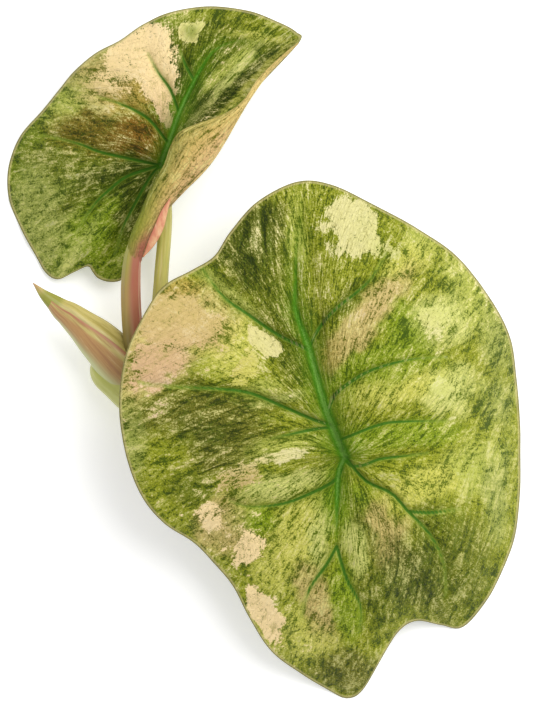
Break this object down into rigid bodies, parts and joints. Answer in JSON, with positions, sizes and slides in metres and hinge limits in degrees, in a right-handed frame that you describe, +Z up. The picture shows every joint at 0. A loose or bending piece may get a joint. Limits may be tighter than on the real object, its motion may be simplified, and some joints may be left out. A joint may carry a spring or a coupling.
{
  "type": "young variegated alocasia plant with its corm",
  "caption": "Young variegated arum-family houseplant lifted with its corm and laid down: arrow-shaped front and rear leaves, a half-rolled new leaf, a spear, stalks, sheath, corm and roots.",
  "frame": {"origin": "middle of the bottom of the plant's box, on the surface it lies on", "axes": "+Z up off the surface; +Y towards the leaf tips; +X to the right seen from above"},
  "size_m": [0.1848, 0.2468, 0.0475],
  "materials": {
    "corm_skin": "dry brown corky skin with rings of old leaf scars",
    "root_skin": "pale matt root skin",
    "sheath_skin": "satin yellow-green fleshy sheath",
    "green_petiole_skin": "satin yellow-green leaf stalk",
    "pink_petiole_skin": "satin pink leaf stalk, olive along its left side",
    "young_leaf_skin": "soft beige and olive streaked young leaf with a yellow edge",
    "front_blade_skin": "satin green leaf splashed with cream, lime, tan and blush",
    "rear_blade_skin": "satin green leaf with a cream and golden brown half"
  },
  "bodies": {
    "root": {"corm": "corm_skin", "cormel_1": "corm_skin", "cormel_2": "corm_skin", "root_1": "root_skin", "root_2": "root_skin", "root_3": "root_skin", "root_4": "root_skin", "root_5": "root_skin", "root_6": "root_skin", "root_7": "root_skin", "base_sheath": "sheath_skin", "spear_leaf": "young_leaf_skin", "front_petiole": "green_petiole_skin", "front_blade": "front_blade_skin", "rear_petiole": "green_petiole_skin", "rear_blade": "rear_blade_skin", "young_petiole": "pink_petiole_skin", "young_blade": "young_leaf_skin"}
  },
  "joints": []
}
